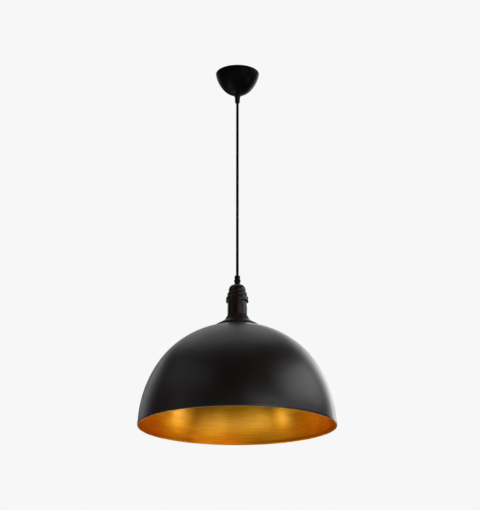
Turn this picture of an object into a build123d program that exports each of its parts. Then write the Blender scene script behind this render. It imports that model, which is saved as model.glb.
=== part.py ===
from build123d import *
import os
from math import acos, cos, degrees, radians, sin, sqrt

# Pendant ceiling light: a steel strap on the ceiling, a twist-on ceiling cup, one straight cord,
# an E27 lampholder with a ribbed cap and a fluted barrel, and a spun dome shade lined in gold.
# Millimetres. Z = 0 is the ceiling, and the light hangs below it on the Z axis.

os.makedirs("parts", exist_ok=True)

# ---- Fits ------------------------------------------------------------------------------------
loose_gap = 0.3          # between pieces that turn or swing past each other
thread_gap = 0.1         # all round a plain-turned thread
slide_gap = 0.05         # all round the contact pin in its guide

# ---- Ceiling strap ---------------------------------------------------------------------------
strap_thickness = 1.5
strap_width = 20.0
strap_end_length = 7.0   # flat ends, stepped down so that the cup's lugs pass above them
strap_step_run = 3.0
strap_step_drop = 4.6
strap_corner = 4.0
strap_end_gap = 1.8      # from the strap's ends to the cup's wall
screw_spacing = 56.0
screw_hole_radius = 2.3

# ---- Ceiling cup, a moulded bowl -------------------------------------------------------------
cup_radius = 46.5
cup_wall = 2.0
cup_ceiling_gap = 0.3
cup_band_height = 2.3
cup_band_edge = 1.6
cup_lean = 9.8          # angles of the bowl's outward normal, from the horizontal
cup_side_radius = 69.8
cup_turn_angle = 41.8
cup_turn_radius = 39.9
cup_end_angle = 66.3
cup_boss_radius = 10.0
cup_boss_height = 4.0
cup_lug_depth = 5.0
cup_lug_thickness = 1.8
cup_lug_reach = 9.0      # to the side of the strap's middle line
cup_stop_width = 2.5
cup_stop_drop = 1.2      # below the strap's underside

# ---- Cord and its two grips ------------------------------------------------------------------
cord_radius = 2.8
cord_free_length = 389.1
cord_bore_gap = 0.1
mouth_depth = 3.0        # bell mouths in which the cord bends
mouth_radius = 4.2
mouth_throat = 0.4       # the flare starts this far inside the bend
spigot_radius = 5.0
nut_across_corners = 15.0
nut_thickness = 3.0
grub_radius = 1.3
grub_inset = 0.5

cup_grip_length = 19.2
cup_grip_collar_radius = 7.7
cup_grip_collar_height = 3.6
cup_grip_root_radius = 6.0
cup_grip_tip_radius = 5.0
cup_grip_rounding = 0.5
cup_spigot_length = 8.8

holder_grip_length = 19.4
holder_grip_radius = 5.8
holder_grip_shoulder = 0.8
holder_grip_bead_radius = 6.8
holder_grip_bead_height = 4.2
holder_grip_bead_rise = 5.8
holder_spigot_length = 8.0

# ---- Wires and the terminal block in the cup -------------------------------------------------
wire_radius = 1.1
wire_offset = 1.25       # from the cord's axis, where the sheath ends
wire_bend_share = 0.45   # of the shorter run beside a bend, taken up by its arc
cup_tail_length = 34.0
holder_tail_length = 26.0
block_length = 16.0
block_width = 24.0
block_height = 12.0
block_centre_x = 20.0
block_rise = 18.8        # of its underside above the cup's crown
block_seat_size = 9.0
sleeve_outer_radius = 2.4
sleeve_bore_radius = 1.5
sleeve_pitch = 12.0
sleeve_inset = 0.5
clamp_screw_radius = 1.2
clamp_screw_pitch = 8.0
clamp_well_radius = 2.0
fixing_screw_radius = 1.5
fixing_head_radius = 2.8
fixing_head_height = 2.0
fixing_screw_depth = 6.0

# ---- Lampholder cap --------------------------------------------------------------------------
cap_wall = 2.3
cap_crown_flat = 6.0     # radius of the flat round the grip
cap_top_ring_radius = 18.0
cap_top_ring_height = 16.6
cap_middle_ring_radius = 20.7
cap_middle_ring_height = 9.0
cap_collar_radius = 23.4
cap_collar_height = 11.6
cap_ring_rounding = 1.6
cap_groove_depth = 0.7
cap_groove_height = 1.6
cap_screw_depth = 7.0    # of the barrel in the cap

# ---- Lampholder barrel -----------------------------------------------------------------------
barrel_radius = 20.2
barrel_height = 28.4     # below the cap, down to the neck flange
barrel_bore_radius = 17.0
barrel_edge = 0.4
flute_count = 8
flute_width = 3.0
flute_depth = 1.5
flute_top_margin = 10.0
flute_bottom_margin = 1.5
flute_start_angle = 31.3
skirt_radius = 18.9
skirt_length = 37.0
mouth_lip_radius = 14.9
mouth_lip_height = 3.0
ring_groove_depth = 0.5

# ---- Neck flange -----------------------------------------------------------------------------
flange_height = 22.6
flange_hub_radius = 20.5
flange_hub_height = 2.3
flange_bead_radius = 22.0
flange_bead_height = 2.4
flange_step_radius = 23.8
flange_step_height = 3.4
flange_rounding = 1.1
flange_radius = 44.0
flange_edge_height = 4.3
flange_sag = 0.9         # hollow of the flare below a straight cone
flange_wall = 2.4
flange_seat_radius = 25.5

# ---- Shade, lining, washer and ring ----------------------------------------------------------
shade_radius = 200.0
shade_wall = 0.8
shade_hem_height = 7.0
shade_hem_outside = 0.7  # how far the hem stands out of the wall, outside and inside
shade_hem_inside = 0.5
shade_hem_rounding = 0.5
shade_lean = 2.0
shade_side_radius = 229.7
shade_turn_angle = 34.0
shade_shoulder_radius = 180.5
shade_crown_angle = 55.6
shade_seat_radius = 27.0
shade_hole_gap = 0.5
lining_thickness = 0.25
lining_gap = 0.05
washer_radius = 26.5
washer_thickness = 1.0
ring_radius = 25.0
ring_height = 6.5
ring_brim_radius = 28.0
ring_brim_height = 1.6
ring_notch_count = 16
ring_notch_radius = 1.2

# ---- E27 contacts ----------------------------------------------------------------------------
shell_bore_radius = 13.3
shell_sheet = 0.45
shell_length = 25.5
shell_roof_hole_radius = 6.5
shell_shoulder = 3.4     # slope round the shell's roof
ceramic_head_height = 18.0
ceramic_corner = 0.6
pin_radius = 2.4
pin_stub_radius = 1.9
pin_collar_radius = 3.2
pin_collar_height = 1.0
pin_tip_drop = 3.0       # below the ceramic's roof
pin_travel = 1.2
pin_pocket_radius = 3.6
pin_guide_length = 6.0
spring_wire_radius = 0.3
spring_mean_radius = 2.75
spring_turns = 5
terminal_size = 7.0
terminal_height = 7.0
terminal_offset = 9.0    # of the two terminals from the axis
terminal_sheet = 0.8
terminal_strip_width = 5.0
terminal_hole_depth = 2.0
retainer_thickness = 1.2
retainer_inner_radius = 15.2
retainer_opening = 16.0

# ---- Heights, from the ceiling down ----------------------------------------------------------
cup_rim_z = -cup_ceiling_gap - cup_band_height
strap_underside_z = -strap_step_drop - strap_thickness


def bowl_arcs(rim_radius, rim_z, closes, lean, side_radius, turn, turn_radius, end):
    """Side, shoulder and crown arcs of a spun bowl, each tangent to the next.

    The angles are those of the outward normal. closes is 1 where the bowl closes upwards and
    -1 where it closes downwards. The crown arc is centred on the bowl's axis.
    """

    def normal(angle):
        return Vector(cos(radians(angle)), closes * sin(radians(angle)))

    side_centre = Vector(rim_radius, rim_z) - normal(lean) * side_radius
    turn_centre = side_centre + normal(turn) * (side_radius - turn_radius)
    crown_step = turn_centre.X / cos(radians(end))
    crown_centre = turn_centre - normal(end) * crown_step
    return [
        (side_centre, side_radius, closes * lean, closes * turn),
        (turn_centre, turn_radius, closes * turn, closes * end),
        (crown_centre, turn_radius + crown_step, closes * end, closes * 90),
    ]


def crown_height(arcs, inset, radius):
    """Height of the crown arc, moved in by inset, at a distance from the axis."""
    centre, crown_radius, start, end = arcs[-1]
    rise = sqrt((crown_radius - inset) ** 2 - radius**2)
    return centre.Y + (rise if end > 0 else -rise)


def draw_bowl(arcs, inset, end_radius):
    """Draw a bowl's line, moved in by inset, from its rim to a distance from the axis."""
    for centre, radius, start, end in arcs:
        if abs(end) == 90:
            end = (1 if end > 0 else -1) * degrees(acos(end_radius / (radius - inset)))
        CenterArc(centre, radius - inset, start, end - start)


def rim_point(arcs, inset):
    """Where a bowl's line, moved in by inset, starts at the rim."""
    centre, radius, start, _ = arcs[0]
    return centre + Vector(cos(radians(start)), sin(radians(start))) * (radius - inset)


cup_arcs = bowl_arcs(
    cup_radius, cup_rim_z, -1, cup_lean, cup_side_radius, cup_turn_angle, cup_turn_radius, cup_end_angle
)
cup_flat_radius = cup_grip_collar_radius + cup_grip_rounding
cup_flat_z = crown_height(cup_arcs, 0, cup_flat_radius)
cup_boss_z = cup_flat_z + cup_boss_height
cup_bore_radius = cup_radius - cup_wall
cup_grip_tip_z = cup_flat_z - cup_grip_length
swing_pivot_z = cup_grip_tip_z + mouth_depth
cup_tail_top_z = swing_pivot_z + cup_tail_length
block_underside_z = cup_flat_z + block_rise
block_middle_z = block_underside_z + block_height / 2
block_top_z = block_underside_z + block_height

holder_grip_top_z = cup_grip_tip_z - cord_free_length
tilt_pivot_z = holder_grip_top_z - mouth_depth
cap_top_z = holder_grip_top_z - holder_grip_length
holder_tail_end_z = tilt_pivot_z - holder_tail_length
cap_roof_z = cap_top_z - cap_wall
cap_bottom_z = cap_top_z - cap_top_ring_height - cap_middle_ring_height - cap_collar_height
barrel_top_z = cap_bottom_z + cap_screw_depth
barrel_bottom_z = cap_bottom_z - barrel_height
skirt_end_z = barrel_bottom_z - skirt_length
ledge_z = skirt_end_z + mouth_lip_height
shell_roof_z = ledge_z + shell_length
ceramic_top_z = shell_roof_z + ceramic_head_height
shade_seat_z = barrel_bottom_z - flange_height

shade_wall_radius = shade_radius - shade_hem_outside
shade_form = (1, shade_lean, shade_side_radius, shade_turn_angle, shade_shoulder_radius, shade_crown_angle)
shade_rim_z = shade_seat_z - crown_height(bowl_arcs(shade_wall_radius, 0, *shade_form), 0, shade_seat_radius)
shade_arcs = bowl_arcs(shade_wall_radius, shade_rim_z, *shade_form)


def save(piece, label):
    """Label a finished piece and write it to its own file."""
    piece.part.label = label
    export_step(piece.part, f"parts/{label}.step")


# ==== Ceiling ==================================================================================
strap_half_length = cup_bore_radius - strap_end_gap
strap_flat_half = strap_half_length - strap_end_length - strap_step_run

with BuildPart() as ceiling_strap:
    with BuildSketch(Plane.XZ):
        with BuildLine():
            Polyline(
                (0, 0),
                (strap_flat_half, 0),
                (strap_flat_half + strap_step_run, -strap_step_drop),
                (strap_half_length, -strap_step_drop),
                (strap_half_length, strap_underside_z),
                (strap_flat_half + strap_step_run - strap_thickness / 2, strap_underside_z),
                (strap_flat_half - strap_thickness / 2, -strap_thickness),
                (0, -strap_thickness),
                close=True,
            )
        make_face()
        mirror(about=Plane.YZ)
    extrude(amount=strap_width / 2, both=True)
    corners = ceiling_strap.edges().filter_by(Axis.Z)
    fillet(corners, strap_corner)
    with Locations((-screw_spacing / 2, 0, 0), (screw_spacing / 2, 0, 0)):
        Hole(screw_hole_radius)
save(ceiling_strap, "ceiling_strap")

# The cup's hollow, less what stands up in it: the grip's boss and the terminal block's seat.
with BuildPart() as cup_hollow:
    with BuildSketch(Plane.XZ):
        with BuildLine():
            inner_rim = rim_point(cup_arcs, cup_wall)
            boss_edge_z = crown_height(cup_arcs, cup_wall, cup_boss_radius)
            draw_bowl(cup_arcs, cup_wall, cup_boss_radius)
            Polyline(
                (cup_boss_radius, boss_edge_z),
                (cup_boss_radius, cup_boss_z),
                (0, cup_boss_z),
                (0, 0),
                (cup_bore_radius, 0),
                (cup_bore_radius, inner_rim.Y),
                inner_rim,
            )
        make_face()
    revolve(axis=Axis.Z)
    with BuildSketch(Plane.XY.offset(block_underside_z)):
        with Locations((block_centre_x, 0)):
            Rectangle(block_seat_size, block_seat_size)
    extrude(amount=-block_rise, mode=Mode.SUBTRACT)

lug_top_z = -strap_step_drop + loose_gap + cup_lug_thickness
stop_side = strap_width / 2 + loose_gap

# Two lugs lie above the strap's ends, each with a stop against the strap's side.
with BuildPart() as cup_lugs:
    for side_from, side_to, underside_z in (
        (-cup_lug_reach, stop_side + cup_stop_width, lug_top_z - cup_lug_thickness),
        (stop_side, stop_side + cup_stop_width, strap_underside_z - cup_stop_drop),
    ):
        with BuildSketch(Plane.XY.offset(lug_top_z)):
            with PolarLocations(cup_bore_radius, 2):
                with Locations((0, (side_from + side_to) / 2)):
                    Rectangle(3 * cup_lug_depth, side_to - side_from)
            Circle(cup_bore_radius + cup_wall / 4, mode=Mode.INTERSECT)
            Circle(cup_bore_radius - cup_lug_depth, mode=Mode.SUBTRACT)
        extrude(amount=underside_z - lug_top_z)

with BuildPart() as ceiling_cup:
    with BuildSketch(Plane.XZ):
        with BuildLine():
            draw_bowl(cup_arcs, 0, cup_flat_radius)
            Polyline(
                (cup_flat_radius, cup_flat_z),
                (spigot_radius + thread_gap, cup_flat_z),
                (spigot_radius + thread_gap, -cup_ceiling_gap),
                (cup_radius - cup_band_edge, -cup_ceiling_gap),
            )
            JernArc((cup_radius - cup_band_edge, -cup_ceiling_gap), (1, 0), cup_band_edge, -90)
            Line((cup_radius, -cup_ceiling_gap - cup_band_edge), (cup_radius, cup_rim_z))
        make_face()
    revolve(axis=Axis.Z)
    add(cup_hollow.part, mode=Mode.SUBTRACT)
    add(cup_lugs.part)
    with Locations((block_centre_x, 0, block_underside_z)):
        Hole(fixing_screw_radius, depth=fixing_screw_depth)
save(ceiling_cup, "ceiling_cup")

# ==== Cord grips ===============================================================================
cord_bore_radius = cord_radius + cord_bore_gap


def cut_cord_way(mouth_z, inward, far_z):
    """Bore a grip for the cord, with a bell mouth; inward is 1 where the grip is above its mouth."""
    with BuildSketch(Plane.XZ) as way:
        Polygon(
            (0, mouth_z - inward),
            (mouth_radius, mouth_z - inward),
            (mouth_radius, mouth_z),
            (cord_bore_radius, mouth_z + inward * (mouth_depth + mouth_throat)),
            (cord_bore_radius, far_z + inward),
            (0, far_z + inward),
            align=None,
        )
    revolve(way.sketch, axis=Axis.Z, mode=Mode.SUBTRACT)


def hex_nut(top_z):
    """A thin hexagon nut on a grip's spigot."""
    with BuildSketch(Plane.XY.offset(top_z)) as hexagon:
        RegularPolygon(nut_across_corners / 2, 6)
        Circle(spigot_radius + thread_gap, mode=Mode.SUBTRACT)
    extrude(hexagon.sketch, amount=-nut_thickness)


def cut_grub_hole(height, outer_radius):
    """A threaded hole from the back of a grip to the cord."""
    with BuildSketch(Plane.XZ.offset(-cord_radius)) as hole:
        with Locations((0, height)):
            Circle(grub_radius + slide_gap)
    extrude(hole.sketch, amount=-outer_radius, mode=Mode.SUBTRACT)


def grub_screw(height, outer_radius):
    """A headless screw with a slot, tight on the cord."""
    with BuildSketch(Plane.XZ.offset(-cord_radius)) as shank:
        with Locations((0, height)):
            Circle(grub_radius)
    extrude(shank.sketch, amount=-(outer_radius - grub_inset - cord_radius))
    with BuildSketch(Plane.XZ.offset(-(outer_radius - grub_inset))) as slot:
        with Locations((0, height)):
            Rectangle(2 * grub_radius, grub_radius / 2)
    extrude(slot.sketch, amount=grub_radius / 2, mode=Mode.SUBTRACT)


cup_spigot_top_z = cup_flat_z + cup_spigot_length
cup_collar_z = cup_flat_z - cup_grip_collar_height

with BuildPart() as cup_grip:
    with BuildSketch(Plane.XZ) as cup_grip_section:
        Polygon(
            (0, cup_spigot_top_z),
            (spigot_radius, cup_spigot_top_z),
            (spigot_radius, cup_flat_z),
            (cup_grip_collar_radius, cup_flat_z),
            (cup_grip_collar_radius, cup_collar_z),
            (cup_grip_root_radius, cup_collar_z - cup_grip_rounding),
            (cup_grip_tip_radius, cup_grip_tip_z),
            (0, cup_grip_tip_z),
            align=None,
        )
        rounded = cup_grip_section.vertices().filter_by(lambda v: v.X > 0 and v.Y < cup_flat_z - thread_gap)
        fillet(rounded, cup_grip_rounding)
    revolve(axis=Axis.Z)
    cut_cord_way(cup_grip_tip_z, 1, cup_spigot_top_z)
    cut_grub_hole(cup_flat_z - cup_grip_collar_height / 2, cup_grip_collar_radius)
save(cup_grip, "cup_grip")

with BuildPart() as cup_grip_nut:
    hex_nut(cup_boss_z + nut_thickness)
save(cup_grip_nut, "cup_grip_nut")

with BuildPart() as cup_grip_screw:
    grub_screw(cup_flat_z - cup_grip_collar_height / 2, cup_grip_collar_radius)
save(cup_grip_screw, "cup_grip_screw")

holder_spigot_end_z = cap_top_z - holder_spigot_length
bead_bottom_z = cap_top_z + holder_grip_bead_rise
bead_top_z = bead_bottom_z + holder_grip_bead_height
bead_middle_z = (bead_bottom_z + bead_top_z) / 2

with BuildPart() as holder_grip:
    with BuildSketch(Plane.XZ) as holder_grip_section:
        Polygon(
            (0, holder_grip_top_z),
            (holder_grip_radius - holder_grip_shoulder, holder_grip_top_z),
            (holder_grip_radius, holder_grip_top_z - 2 * holder_grip_shoulder),
            (holder_grip_radius, bead_top_z),
            (holder_grip_bead_radius, bead_top_z),
            (holder_grip_bead_radius, bead_bottom_z),
            (holder_grip_radius, bead_bottom_z),
            (holder_grip_radius, cap_top_z),
            (spigot_radius, cap_top_z),
            (spigot_radius, holder_spigot_end_z),
            (0, holder_spigot_end_z),
            align=None,
        )
        outer = holder_grip_section.vertices().filter_by(lambda v: v.X > holder_grip_radius + thread_gap)
        fillet(outer, (holder_grip_bead_radius - holder_grip_radius) / 2)
    revolve(axis=Axis.Z)
    cut_cord_way(holder_grip_top_z, -1, holder_spigot_end_z)
    cut_grub_hole(bead_middle_z, holder_grip_bead_radius)
save(holder_grip, "holder_grip")

with BuildPart() as holder_grip_nut:
    hex_nut(cap_roof_z)
save(holder_grip_nut, "holder_grip_nut")

with BuildPart() as holder_grip_screw:
    grub_screw(bead_middle_z, holder_grip_bead_radius)
save(holder_grip_screw, "holder_grip_screw")

# ==== Cord =====================================================================================
# The free cord is round-ended, and each end turns in the mouth of its grip.
with BuildPart() as suspension_cord:
    with BuildSketch(Plane.XZ):
        with BuildLine():
            CenterArc((0, swing_pivot_z), cord_radius, 0, 90)
            Polyline(
                (cord_radius, swing_pivot_z),
                (cord_radius, tilt_pivot_z),
            )
            CenterArc((0, tilt_pivot_z), cord_radius, -90, 90)
            Line((0, tilt_pivot_z - cord_radius), (0, swing_pivot_z + cord_radius))
        make_face()
    revolve(axis=Axis.Z)
save(suspension_cord, "suspension_cord")

for label, tail_from, tail_to in (
    ("cup_cord_tail", swing_pivot_z + cord_radius + loose_gap, cup_tail_top_z),
    ("holder_cord_tail", holder_tail_end_z, tilt_pivot_z - cord_radius - loose_gap),
):
    with BuildPart() as cord_tail:
        with BuildSketch(Plane.XY.offset(tail_from)):
            Circle(cord_radius)
        extrude(amount=tail_to - tail_from)
    save(cord_tail, label)


def tan_half(angle):
    """Tangent of half an angle given in degrees."""
    return sin(radians(angle)) / (1 + cos(radians(angle)))


def wire(*route):
    """An insulated wire along straight runs that are joined by arcs as large as the runs allow."""
    points = [Vector(*point) for point in route]
    runs = [after - before for before, after in zip(points, points[1:])]
    bends = [
        wire_bend_share * min(first.length, second.length) / tan_half(first.get_angle(second))
        for first, second in zip(runs, runs[1:])
    ]
    with BuildLine() as path:
        FilletPolyline(*points, radius=bends)
    with BuildSketch(Plane(points[0], z_dir=runs[0])) as core:
        Circle(wire_radius)
    sweep(core.sketch, path=path.wire())
    print("wire bends, mm:", [round(bend, 1) for bend in bends])


sleeve_end_x = block_centre_x - block_length / 2 + sleeve_inset
wire_rise = 8.0
for label, side in (("cup_live_wire", 1), ("cup_neutral_wire", -1)):
    with BuildPart() as cup_wire:
        wire(
            (0, side * wire_offset, cup_tail_top_z),
            (0, side * wire_offset, cup_tail_top_z + wire_rise),
            (sleeve_end_x - wire_rise, side * sleeve_pitch / 2, block_middle_z),
            (sleeve_end_x + terminal_hole_depth, side * sleeve_pitch / 2, block_middle_z),
        )
    save(cup_wire, label)

# ==== Terminal block in the cup ================================================================
with BuildPart() as cup_terminal_block:
    with BuildSketch(Plane((block_centre_x, 0, block_underside_z))):
        RectangleRounded(block_length, block_width, 1)
    extrude(amount=block_height)
    with BuildSketch(Plane.YZ.offset(block_centre_x + block_length)):
        with Locations((-sleeve_pitch / 2, block_middle_z), (sleeve_pitch / 2, block_middle_z)):
            Circle(sleeve_outer_radius + slide_gap)
    extrude(amount=-2 * block_length, mode=Mode.SUBTRACT)
    with BuildSketch(Plane((block_centre_x, 0, block_top_z))):
        with GridLocations(clamp_screw_pitch, sleeve_pitch, 2, 2):
            Circle(clamp_well_radius)
    extrude(amount=-block_height / 2, mode=Mode.SUBTRACT)
    with Locations((block_centre_x, 0, block_top_z)):
        Hole(fixing_screw_radius + slide_gap, depth=block_height)
save(cup_terminal_block, "cup_terminal_block")

with BuildPart() as cup_terminal_sleeves:
    with BuildSketch(Plane.YZ.offset(sleeve_end_x)):
        with Locations((-sleeve_pitch / 2, block_middle_z), (sleeve_pitch / 2, block_middle_z)):
            Circle(sleeve_outer_radius)
            Circle(sleeve_bore_radius, mode=Mode.SUBTRACT)
    extrude(amount=block_length - 2 * sleeve_inset)
    with BuildSketch(Plane((block_centre_x, 0, block_middle_z))):
        with GridLocations(clamp_screw_pitch, sleeve_pitch, 2, 2):
            Circle(clamp_screw_radius + slide_gap)
    extrude(amount=block_height, mode=Mode.SUBTRACT)
save(cup_terminal_sleeves, "cup_terminal_sleeves")

with BuildPart() as cup_terminal_screws:
    screw_foot_z = block_middle_z + sleeve_bore_radius
    with BuildSketch(Plane((block_centre_x, 0, screw_foot_z))):
        with GridLocations(clamp_screw_pitch, sleeve_pitch, 2, 2):
            Circle(clamp_screw_radius)
    extrude(amount=sleeve_outer_radius - sleeve_bore_radius + slide_gap)
    with BuildSketch(Plane((block_centre_x, 0, block_middle_z + sleeve_outer_radius + slide_gap))):
        with GridLocations(clamp_screw_pitch, sleeve_pitch, 2, 2):
            Circle(clamp_well_radius - thread_gap)
    extrude(amount=clamp_well_radius - thread_gap)
save(cup_terminal_screws, "cup_terminal_screws")

with BuildPart() as cup_block_screw:
    with BuildSketch(Plane((block_centre_x, 0, block_top_z))):
        Circle(fixing_head_radius)
    extrude(amount=fixing_head_height)
    fillet(cup_block_screw.faces().sort_by(Axis.Z)[-1].edges(), fixing_head_height / 3)
    with BuildSketch(Plane((block_centre_x, 0, block_top_z))):
        Circle(fixing_screw_radius - slide_gap)
    extrude(amount=-(block_height + fixing_screw_depth - thread_gap))
    with BuildSketch(Plane((block_centre_x, 0, block_top_z + fixing_head_height))):
        Rectangle(2 * fixing_head_radius, fixing_head_height / 3)
    extrude(amount=-fixing_head_height / 2, mode=Mode.SUBTRACT)
save(cup_block_screw, "cup_block_screw")

# ==== Lampholder ===============================================================================
top_ring_bottom_z = cap_top_z - cap_top_ring_height
middle_ring_bottom_z = top_ring_bottom_z - cap_middle_ring_height
cap_shoulder_radius = cap_top_ring_radius - cap_crown_flat
cap_bore_radius = barrel_radius + thread_gap
nut_seat_radius = nut_across_corners / 2 + cap_groove_depth
roof_arc_radius = cap_top_ring_radius - cap_wall - nut_seat_radius

with BuildPart() as holder_cap:
    with BuildSketch(Plane.XZ) as cap_section:
        with BuildLine():
            JernArc((cap_crown_flat, cap_top_z), (1, 0), cap_shoulder_radius, -90)
            Polyline(
                (cap_top_ring_radius, cap_top_z - cap_shoulder_radius),
                (cap_top_ring_radius, top_ring_bottom_z),
                (cap_top_ring_radius - cap_groove_depth, top_ring_bottom_z),
                (cap_top_ring_radius - cap_groove_depth, top_ring_bottom_z - cap_groove_height),
                (cap_middle_ring_radius, top_ring_bottom_z - cap_groove_height),
                (cap_middle_ring_radius, middle_ring_bottom_z),
                (cap_middle_ring_radius - cap_groove_depth, middle_ring_bottom_z),
                (cap_middle_ring_radius - cap_groove_depth, middle_ring_bottom_z - cap_groove_height),
                (cap_collar_radius, middle_ring_bottom_z - cap_groove_height),
                (cap_collar_radius, cap_bottom_z),
                (cap_bore_radius, cap_bottom_z),
                (cap_bore_radius, barrel_top_z),
                (barrel_bore_radius, barrel_top_z),
                (barrel_bore_radius, top_ring_bottom_z - cap_groove_height - cap_wall / 2),
                (cap_top_ring_radius - cap_wall, top_ring_bottom_z - cap_groove_height - cap_wall / 2),
                (cap_top_ring_radius - cap_wall, cap_roof_z - roof_arc_radius),
            )
            JernArc((cap_top_ring_radius - cap_wall, cap_roof_z - roof_arc_radius), (0, 1), roof_arc_radius, 90)
            Polyline(
                (nut_seat_radius, cap_roof_z),
                (spigot_radius + thread_gap, cap_roof_z),
                (spigot_radius + thread_gap, cap_top_z),
                (cap_crown_flat, cap_top_z),
            )
        make_face()
        ring_tops = [
            v for v in cap_section.vertices()
            if any(abs(v.X - radius) < 1e-3 and abs(v.Y - height) < 1e-3 for radius, height in (
                (cap_middle_ring_radius, top_ring_bottom_z - cap_groove_height),
                (cap_collar_radius, middle_ring_bottom_z - cap_groove_height),
            ))
        ]
        ring_bottoms = [
            v for v in cap_section.vertices()
            if any(abs(v.X - radius) < 1e-3 and abs(v.Y - height) < 1e-3 for radius, height in (
                (cap_top_ring_radius, top_ring_bottom_z),
                (cap_middle_ring_radius, middle_ring_bottom_z),
                (cap_collar_radius, cap_bottom_z),
            ))
        ]
        fillet(ring_tops, cap_ring_rounding)
        fillet(ring_bottoms, cap_groove_depth)
    revolve(axis=Axis.Z)
save(holder_cap, "holder_cap")

flute_top_z = cap_bottom_z - flute_top_margin
flute_bottom_z = barrel_bottom_z + flute_bottom_margin
retainer_z = ceramic_top_z

with BuildPart() as holder_barrel:
    with BuildSketch(Plane.XZ):
        Polygon(
            (barrel_bore_radius, barrel_top_z),
            (barrel_radius, barrel_top_z),
            (barrel_radius, barrel_bottom_z),
            (skirt_radius, barrel_bottom_z),
            (skirt_radius, skirt_end_z),
            (mouth_lip_radius, skirt_end_z),
            (mouth_lip_radius, ledge_z),
            (barrel_bore_radius, ledge_z),
            align=None,
        )
    revolve(axis=Axis.Z)
    shoulder = holder_barrel.edges().filter_by(GeomType.CIRCLE).filter_by(
        lambda e: abs(e.radius - barrel_radius) < 1e-3 and abs(e.center().Z - barrel_bottom_z) < 1e-3
    )
    chamfer(shoulder, barrel_edge)
    # Round-ended flutes all round the barrel
    with BuildSketch(Plane.XZ.offset(-barrel_radius)) as flute:
        with Locations((0, (flute_top_z + flute_bottom_z) / 2)):
            SlotOverall(flute_top_z - flute_bottom_z, flute_width, rotation=90)
    flute_cutter = extrude(flute.sketch, amount=flute_depth, mode=Mode.PRIVATE)
    with PolarLocations(0, flute_count, start_angle=flute_start_angle - 90):
        add(flute_cutter, mode=Mode.SUBTRACT)
    with BuildSketch(Plane.XY.offset(retainer_z - slide_gap)):
        Circle(barrel_bore_radius + ring_groove_depth)
        Circle(barrel_bore_radius - ring_groove_depth, mode=Mode.SUBTRACT)
    extrude(amount=retainer_thickness + 2 * slide_gap, mode=Mode.SUBTRACT)
save(holder_barrel, "holder_barrel")

with BuildPart() as retaining_ring:
    with BuildSketch(Plane.XY.offset(retainer_z)):
        Circle(barrel_bore_radius + ring_groove_depth - thread_gap)
        Circle(retainer_inner_radius, mode=Mode.SUBTRACT)
        with Locations((0, barrel_bore_radius)):
            Rectangle(retainer_opening, barrel_bore_radius, mode=Mode.SUBTRACT)
    extrude(amount=retainer_thickness)
save(retaining_ring, "retaining_ring")

# ==== Neck flange ==============================================================================
hub_z = barrel_bottom_z - flange_hub_height
bead_z = hub_z - flange_bead_height
step_z = bead_z - flange_step_height
flange_edge_z = crown_height(shade_arcs, 0, flange_radius) + loose_gap
flange_foot_z = crown_height(shade_arcs, 0, flange_radius - flange_wall) + loose_gap
flange_brim_z = flange_edge_z + flange_edge_height
flange_bore_radius = skirt_radius + thread_gap

with BuildPart() as neck_flange:
    with BuildSketch(Plane.XZ) as flange_section:
        with BuildLine():
            Polyline(
                (flange_bore_radius, barrel_bottom_z),
                (flange_hub_radius, barrel_bottom_z),
                (flange_hub_radius, hub_z),
                (flange_bead_radius, hub_z),
                (flange_bead_radius, bead_z),
                (flange_step_radius, bead_z),
                (flange_step_radius, step_z),
            )
            SagittaArc((flange_step_radius, step_z), (flange_radius, flange_brim_z), -flange_sag)
            Polyline(
                (flange_radius, flange_brim_z),
                (flange_radius, flange_edge_z),
                (flange_radius - flange_wall, flange_foot_z),
                (flange_radius - flange_wall, flange_brim_z - flange_wall),
                (flange_step_radius + flange_wall, step_z - 2 * flange_wall),
                (flange_seat_radius, shade_seat_z),
                (flange_bore_radius, shade_seat_z),
                (flange_bore_radius, barrel_bottom_z),
            )
        make_face()
        rounded = [
            v for v in flange_section.vertices()
            if any(abs(v.X - radius) < 1e-3 and abs(v.Y - height) < 1e-3 for radius, height in (
                (flange_bead_radius, hub_z),
                (flange_step_radius, bead_z),
                (flange_radius, flange_brim_z),
            ))
        ]
        fillet(rounded, flange_rounding)
    revolve(axis=Axis.Z)
save(neck_flange, "neck_flange")

# ==== Shade ====================================================================================
shade_hole_radius = skirt_radius + shade_hole_gap
lining_outset = shade_wall + lining_gap
lining_inset = lining_outset + lining_thickness
lining_foot_z = rim_point(shade_arcs, lining_inset).Y - lining_gap
hem_bottom_z = shade_rim_z - shade_hem_height


def draw_skin(outer_inset, inner_inset):
    """Draw a skin of the shade between two insets, all but its rim."""
    draw_bowl(shade_arcs, outer_inset, shade_seat_radius)
    draw_bowl(shade_arcs, inner_inset, shade_seat_radius)
    Polyline(
        (shade_seat_radius, crown_height(shade_arcs, outer_inset, shade_seat_radius)),
        (shade_hole_radius, crown_height(shade_arcs, outer_inset, shade_seat_radius)),
        (shade_hole_radius, crown_height(shade_arcs, inner_inset, shade_seat_radius)),
        (shade_seat_radius, crown_height(shade_arcs, inner_inset, shade_seat_radius)),
    )


with BuildPart() as shade:
    with BuildSketch(Plane.XZ) as shade_section:
        with BuildLine():
            inner_rim = rim_point(shade_arcs, shade_wall)
            draw_skin(0, shade_wall)
            Polyline(
                rim_point(shade_arcs, 0),
                (shade_radius, shade_rim_z),
                (shade_radius, hem_bottom_z),
                (inner_rim.X - shade_hem_inside, hem_bottom_z),
                (inner_rim.X - shade_hem_inside, lining_foot_z),
                (inner_rim.X, lining_foot_z),
                inner_rim,
            )
        make_face()
        hem_corners = shade_section.vertices().filter_by(
            lambda v: v.X > shade_radius - thread_gap or v.Y < hem_bottom_z + thread_gap
        )
        fillet(hem_corners, shade_hem_rounding)
    revolve(axis=Axis.Z)
save(shade, "shade")

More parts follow.
